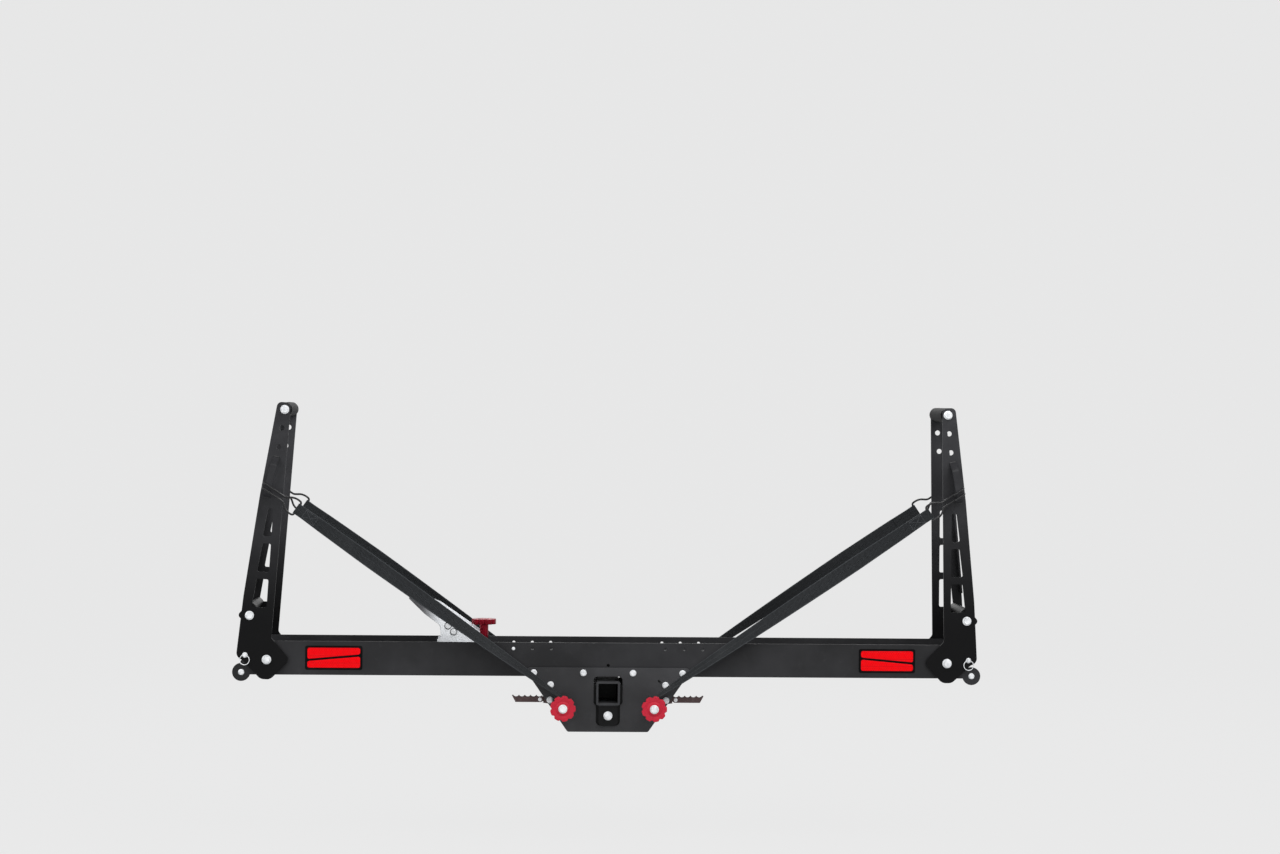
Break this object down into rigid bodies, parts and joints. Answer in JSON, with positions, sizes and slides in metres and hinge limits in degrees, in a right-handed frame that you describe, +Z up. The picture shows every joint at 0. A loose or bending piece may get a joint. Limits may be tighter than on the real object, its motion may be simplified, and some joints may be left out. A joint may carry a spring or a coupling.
{
  "type": "hitch motorcycle carrier",
  "caption": "Long steel wheel tray on a hitch bar that carries a motorcycle behind a vehicle, with folding slotted wheel arms, ratcheting strap winders and a sliding wheel chock.",
  "frame": {"origin": "centre of the hitch pin hole in the hitch bar", "axes": "+X along the tray to the right as seen from behind the vehicle, +Y to the vehicle, +Z up"},
  "size_m": [2.006, 0.652, 0.8761],
  "materials": {
    "black_steel": "fine textured black powder coat",
    "zinc_steel": "bright zinc plate",
    "webbing": "woven polyester webbing",
    "black_sleeve": "matt black sleeve",
    "black_plastic": "moulded black",
    "red_lens": "prismatic red lens",
    "red_plastic": "smooth red moulding",
    "bare_aluminium": "bare bent sheet"
  },
  "bodies": {
    "frame": {"tray": "black_steel", "rear_plate": "black_steel", "front_plate": "black_steel", "receiver_tube": "black_steel", "receiver_carriers": "black_steel", "receiver_bolts": "zinc_steel", "hitch_shank": "black_steel", "plate_bolts": "zinc_steel", "tie_bolts": "zinc_steel", "plate_spacers": "zinc_steel", "spool_bushes": "black_plastic", "pivot_bushes": "zinc_steel", "pivot_bolts": "zinc_steel", "ramp_bars": "black_steel", "ramp_bolts": "zinc_steel", "reflector_bases": "black_plastic", "reflector_lenses": "red_lens", "left_rear_strap": "webbing", "left_front_strap": "webbing", "right_rear_strap": "webbing", "right_front_strap": "webbing", "left_pawl_spring": "zinc_steel", "right_pawl_spring": "zinc_steel"},
    "left_arm": {"left_rear_arm": "black_steel", "left_front_arm": "black_steel", "left_top_roller": "black_sleeve", "left_lower_bar": "black_steel", "left_arm_bolts": "zinc_steel", "left_strap_loops": "black_steel", "left_hooks": "black_steel"},
    "left_lock_pin": {"left_lock_pin": "zinc_steel", "left_pin_ring": "zinc_steel"},
    "left_spool": {"left_spool_shaft": "zinc_steel", "left_ratchet_gear": "zinc_steel", "left_coils": "webbing", "left_knob": "red_plastic", "left_spool_bolts": "zinc_steel"},
    "left_pedal": {"left_pawl_lever": "zinc_steel", "left_tread": "black_steel"},
    "right_arm": {"right_rear_arm": "black_steel", "right_front_arm": "black_steel", "right_top_roller": "black_sleeve", "right_lower_bar": "black_steel", "right_arm_bolts": "zinc_steel", "right_strap_loops": "black_steel", "right_hooks": "black_steel"},
    "right_lock_pin": {"right_lock_pin": "zinc_steel", "right_pin_ring": "zinc_steel"},
    "right_spool": {"right_spool_shaft": "zinc_steel", "right_ratchet_gear": "zinc_steel", "right_coils": "webbing", "right_knob": "red_plastic", "right_spool_bolts": "zinc_steel"},
    "right_pedal": {"right_pawl_lever": "zinc_steel", "right_tread": "black_steel"},
    "chock": {"chock_base": "bare_aluminium", "chock_cheeks": "bare_aluminium", "chock_bolts": "zinc_steel", "chock_clamp_plate": "zinc_steel"},
    "chock_knob": {"chock_knob": "red_plastic"}
  },
  "joints": [
    {"name": "left_arm_fold", "type": "hinge", "parent": "frame", "child": "left_arm", "pos_m": [-0.911, -0.4, 0.085], "axis": [0, 1, 0], "range_deg": [-13.8, 76.1], "deforming": ["left_rear_strap", "left_front_strap"]},
    {"name": "left_pin_pull", "type": "slide", "parent": "left_arm", "child": "left_lock_pin", "axis": [0, -1, 0], "range_m": [0, 0.03]},
    {"name": "left_spool_turn", "type": "hinge", "parent": "frame", "child": "left_spool", "pos_m": [-0.1215, -0.4, -0.036], "axis": [0, 1, 0], "continuous": true},
    {"name": "left_pedal_press", "type": "hinge", "parent": "frame", "child": "left_pedal", "pos_m": [-0.1555, -0.4, -0.019], "axis": [0, -1, 0], "range_deg": [-6, 18], "stiffness_Nm_per_rad": 0.8, "springref_deg": -14.32, "deforming": ["left_pawl_spring"]},
    {"name": "right_arm_fold", "type": "hinge", "parent": "frame", "child": "right_arm", "pos_m": [0.911, -0.4, 0.085], "axis": [0, -1, 0], "range_deg": [-10.5, 79.4], "deforming": ["right_rear_strap", "right_front_strap"]},
    {"name": "right_pin_pull", "type": "slide", "parent": "right_arm", "child": "right_lock_pin", "axis": [0, -1, 0], "range_m": [0, 0.03]},
    {"name": "right_spool_turn", "type": "hinge", "parent": "frame", "child": "right_spool", "pos_m": [0.1215, -0.4, -0.036], "axis": [0, 1, 0], "continuous": true},
    {"name": "right_pedal_press", "type": "hinge", "parent": "frame", "child": "right_pedal", "pos_m": [0.1555, -0.4, -0.019], "axis": [0, 1, 0], "range_deg": [-6, 18], "stiffness_Nm_per_rad": 0.8, "springref_deg": -14.32, "deforming": ["right_pawl_spring"]},
    {"name": "chock_slide", "type": "slide", "parent": "frame", "child": "chock", "axis": [1, 0, 0], "range_m": [-0.06, 0.02]},
    {"name": "chock_knob_turn", "type": "hinge", "parent": "chock", "child": "chock_knob", "pos_m": [-0.335, -0.4, 0.182], "axis": [0, 0, 1], "continuous": true}
  ]
}
